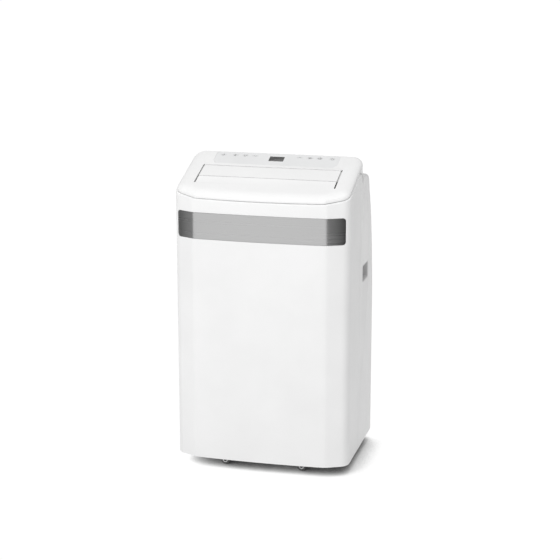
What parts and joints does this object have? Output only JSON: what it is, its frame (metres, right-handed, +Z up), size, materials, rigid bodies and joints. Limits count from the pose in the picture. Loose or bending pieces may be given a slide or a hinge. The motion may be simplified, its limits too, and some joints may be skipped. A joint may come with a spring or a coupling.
{
  "type": "portable air conditioner",
  "caption": "Upright portable air conditioner on casters, with a sloping top, a tilting louver, soft keys, side grips, rear intakes and an exhaust collar.",
  "frame": {"origin": "on the floor, under the centre of the casing's bounding box", "axes": "+X to the right of someone who faces its front, +Y towards its back, +Z up; the front faces -Y"},
  "size_m": [0.44, 0.344, 0.7736],
  "materials": {
    "casing_white": "satin white",
    "trim_silver": "brushed silver metallic film",
    "handle_grey": "fine grain",
    "overlay_grey": "satin light grey",
    "display_dark": "gloss tinted window",
    "inner_white": "matt",
    "inner_grey": "matt",
    "inner_black": "matt",
    "foam_white": "expanded foam",
    "rubber_black": "matt",
    "zinc_steel": "zinc plated",
    "black_paint": "semi-gloss black",
    "coil_fins": "bare fins",
    "copper_pipe": "bare copper",
    "circuit_board": "lacquered board"
  },
  "bodies": {
    "casing": {"front_panel": "casing_white", "rear_shell": "casing_white", "top_cover": "casing_white", "exhaust_collar": "casing_white", "trim_band": "trim_silver", "handle_left": "handle_grey", "handle_right": "handle_grey", "control_overlay": "overlay_grey", "display_window": "display_dark", "base_pan": "inner_grey", "condenser_scroll": "inner_grey", "splash_motor": "inner_grey", "outlet_frame": "inner_white", "outlet_grille": "inner_black", "cord_inlet": "inner_black", "middle_deck": "foam_white", "evaporator_scroll": "foam_white", "outlet_duct": "foam_white", "compressor_grommet_1": "rubber_black", "compressor_grommet_2": "rubber_black", "compressor_grommet_3": "rubber_black", "evaporator_motor": "zinc_steel", "condenser_motor": "zinc_steel", "louver_motor": "zinc_steel", "electrical_box": "zinc_steel", "compressor": "black_paint", "accumulator": "black_paint", "evaporator_coil": "coil_fins", "condenser_coil": "coil_fins", "discharge_pipe": "copper_pipe", "suction_pipe": "copper_pipe", "liquid_pipe": "copper_pipe", "control_board": "circuit_board"},
    "louver": {"louver": "casing_white"},
    "filter_grille": {"upper_filter_grille": "casing_white", "upper_filter_mesh": "inner_black"},
    "lower_grille": {"lower_intake_grille": "casing_white"},
    "upper_plug": {"drain_plug_upper": "rubber_black"},
    "lower_plug": {"drain_plug_lower": "rubber_black"},
    "evaporator_wheel": {"evaporator_fan": "inner_black"},
    "condenser_wheel": {"condenser_fan": "inner_black"},
    "splasher": {"splash_wheel": "inner_black"},
    "key_ion": {"button_ion": "overlay_grey"},
    "key_sleep": {"button_sleep": "overlay_grey"},
    "key_fan": {"button_fan": "overlay_grey"},
    "key_down": {"button_down": "overlay_grey"},
    "key_up": {"button_up": "overlay_grey"},
    "key_mode": {"button_mode": "overlay_grey"},
    "key_timer": {"button_timer": "overlay_grey"},
    "key_power": {"button_power": "overlay_grey"},
    "swivel_front_left": {"caster_fork_front_left": "zinc_steel"},
    "wheel_front_left": {"caster_wheel_front_left": "inner_grey"},
    "swivel_front_right": {"caster_fork_front_right": "zinc_steel"},
    "wheel_front_right": {"caster_wheel_front_right": "inner_grey"},
    "swivel_rear_left": {"caster_fork_rear_left": "zinc_steel"},
    "wheel_rear_left": {"caster_wheel_rear_left": "inner_grey"},
    "swivel_rear_right": {"caster_fork_rear_right": "zinc_steel"},
    "wheel_rear_right": {"caster_wheel_rear_right": "inner_grey"}
  },
  "joints": [
    {"name": "louver_tilt", "type": "hinge", "parent": "casing", "child": "louver", "pos_m": [0, -0.03354, 0.74424], "axis": [-1, 0, 0], "range_deg": [0, 55]},
    {"name": "press_ion", "type": "slide", "parent": "casing", "child": "key_ion", "axis": [0, 0.3228, -0.9465], "range_m": [0, 0.0008], "stiffness_N_per_m": 900, "springref_m": -0.0003},
    {"name": "press_sleep", "type": "slide", "parent": "casing", "child": "key_sleep", "axis": [0, 0.3228, -0.9465], "range_m": [0, 0.0008], "stiffness_N_per_m": 900, "springref_m": -0.0003},
    {"name": "press_fan", "type": "slide", "parent": "casing", "child": "key_fan", "axis": [0, 0.3228, -0.9465], "range_m": [0, 0.0008], "stiffness_N_per_m": 900, "springref_m": -0.0003},
    {"name": "press_down", "type": "slide", "parent": "casing", "child": "key_down", "axis": [0, 0.3228, -0.9465], "range_m": [0, 0.0008], "stiffness_N_per_m": 900, "springref_m": -0.0003},
    {"name": "press_up", "type": "slide", "parent": "casing", "child": "key_up", "axis": [0, 0.3228, -0.9465], "range_m": [0, 0.0008], "stiffness_N_per_m": 900, "springref_m": -0.0003},
    {"name": "press_mode", "type": "slide", "parent": "casing", "child": "key_mode", "axis": [0, 0.3228, -0.9465], "range_m": [0, 0.0008], "stiffness_N_per_m": 900, "springref_m": -0.0003},
    {"name": "press_timer", "type": "slide", "parent": "casing", "child": "key_timer", "axis": [0, 0.3228, -0.9465], "range_m": [0, 0.0008], "stiffness_N_per_m": 900, "springref_m": -0.0003},
    {"name": "press_power", "type": "slide", "parent": "casing", "child": "key_power", "axis": [0, 0.3228, -0.9465], "range_m": [0, 0.0008], "stiffness_N_per_m": 900, "springref_m": -0.0003},
    {"name": "filter_pull", "type": "slide", "parent": "casing", "child": "filter_grille", "axis": [0, 1, 0], "range_m": [0, 0.08]},
    {"name": "lower_grille_pull", "type": "slide", "parent": "casing", "child": "lower_grille", "axis": [0, 1, 0], "range_m": [0, 0.05]},
    {"name": "upper_plug_pull", "type": "slide", "parent": "casing", "child": "upper_plug", "axis": [0, 1, 0], "range_m": [0, 0.03]},
    {"name": "lower_plug_pull", "type": "slide", "parent": "casing", "child": "lower_plug", "axis": [0, 1, 0], "range_m": [0, 0.03]},
    {"name": "evaporator_spin", "type": "hinge", "parent": "casing", "child": "evaporator_wheel", "pos_m": [-0.01, -0.074, 0.545], "axis": [0, 1, 0], "continuous": true},
    {"name": "condenser_spin", "type": "hinge", "parent": "casing", "child": "condenser_wheel", "pos_m": [0.06, 0.02, 0.26493], "axis": [1, 0, 0], "continuous": true},
    {"name": "splash_spin", "type": "hinge", "parent": "casing", "child": "splasher", "pos_m": [0.03, 0.096, 0.062], "axis": [0, 1, 0], "continuous": true},
    {"name": "swivel_front_left", "type": "hinge", "parent": "casing", "child": "swivel_front_left", "pos_m": [-0.0963, -0.121, 0.03], "axis": [0, 0, 1], "continuous": true},
    {"name": "roll_front_left", "type": "hinge", "parent": "swivel_front_left", "child": "wheel_front_left", "pos_m": [-0.0993, -0.121, 0.011], "axis": [0, 1, 0], "continuous": true},
    {"name": "swivel_front_right", "type": "hinge", "parent": "casing", "child": "swivel_front_right", "pos_m": [0.0963, -0.121, 0.03], "axis": [0, 0, 1], "continuous": true},
    {"name": "roll_front_right", "type": "hinge", "parent": "swivel_front_right", "child": "wheel_front_right", "pos_m": [0.0993, -0.121, 0.011], "axis": [0, 1, 0], "continuous": true},
    {"name": "swivel_rear_left", "type": "hinge", "parent": "casing", "child": "swivel_rear_left", "pos_m": [-0.0963, 0.112, 0.03], "axis": [0, 0, 1], "continuous": true},
    {"name": "roll_rear_left", "type": "hinge", "parent": "swivel_rear_left", "child": "wheel_rear_left", "pos_m": [-0.0993, 0.112, 0.011], "axis": [0, 1, 0], "continuous": true},
    {"name": "swivel_rear_right", "type": "hinge", "parent": "casing", "child": "swivel_rear_right", "pos_m": [0.0963, 0.112, 0.03], "axis": [0, 0, 1], "continuous": true},
    {"name": "roll_rear_right", "type": "hinge", "parent": "swivel_rear_right", "child": "wheel_rear_right", "pos_m": [0.0993, 0.112, 0.011], "axis": [0, 1, 0], "continuous": true}
  ]
}
